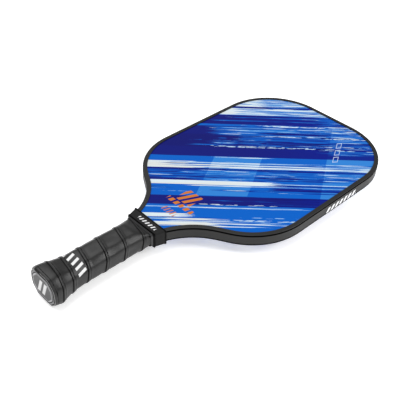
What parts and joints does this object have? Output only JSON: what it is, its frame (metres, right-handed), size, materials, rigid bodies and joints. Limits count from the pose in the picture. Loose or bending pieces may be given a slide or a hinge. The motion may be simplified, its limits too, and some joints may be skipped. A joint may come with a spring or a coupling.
{
  "type": "pickleball paddle",
  "caption": "Pickleball paddle with a honeycomb-cored face, wrap-round edge guard, wound octagonal grip, flared butt cap and rubber throat collar.",
  "frame": {"origin": "centre of the flat butt end, on the mid-plane of the face", "axes": "+X along the handle from the butt to the tip of the face, +Y across the face, +Z out of the front face"},
  "size_m": [0.405, 0.1972, 0.0352],
  "materials": {
    "core_polymer": "matte polypropylene honeycomb",
    "scrim": "thin bonding fleece",
    "printed_skin": "glossy printed blue brush-stroke pattern under clear coat",
    "guard_plastic": "satin moulded charcoal plastic",
    "adhesive": "clear bonding film",
    "pallet_foam": "rigid moulded foam",
    "cap_plastic": "satin moulded plastic",
    "badge_foil": "brushed silver foil disc",
    "staple_wire": "galvanised wire",
    "grip_pu": "satin black polyurethane tape",
    "tape_film": "black vinyl tape",
    "collar_rubber": "matte stretched rubber"
  },
  "bodies": {
    "root": {"honeycomb_core": "core_polymer", "front_core_scrim": "scrim", "back_core_scrim": "scrim", "front_face_sheet": "printed_skin", "back_face_sheet": "printed_skin", "edge_guard": "guard_plastic", "edge_guard_adhesive": "adhesive", "front_handle_pallet": "pallet_foam", "back_handle_pallet": "pallet_foam", "front_pallet_adhesive": "adhesive", "back_pallet_adhesive": "adhesive", "butt_cap": "cap_plastic", "butt_cap_badge": "badge_foil", "butt_cap_staples": "staple_wire", "grip_start_staple": "staple_wire", "grip_wrap": "grip_pu", "grip_finishing_tape": "tape_film", "throat_collar": "collar_rubber"}
  },
  "joints": []
}
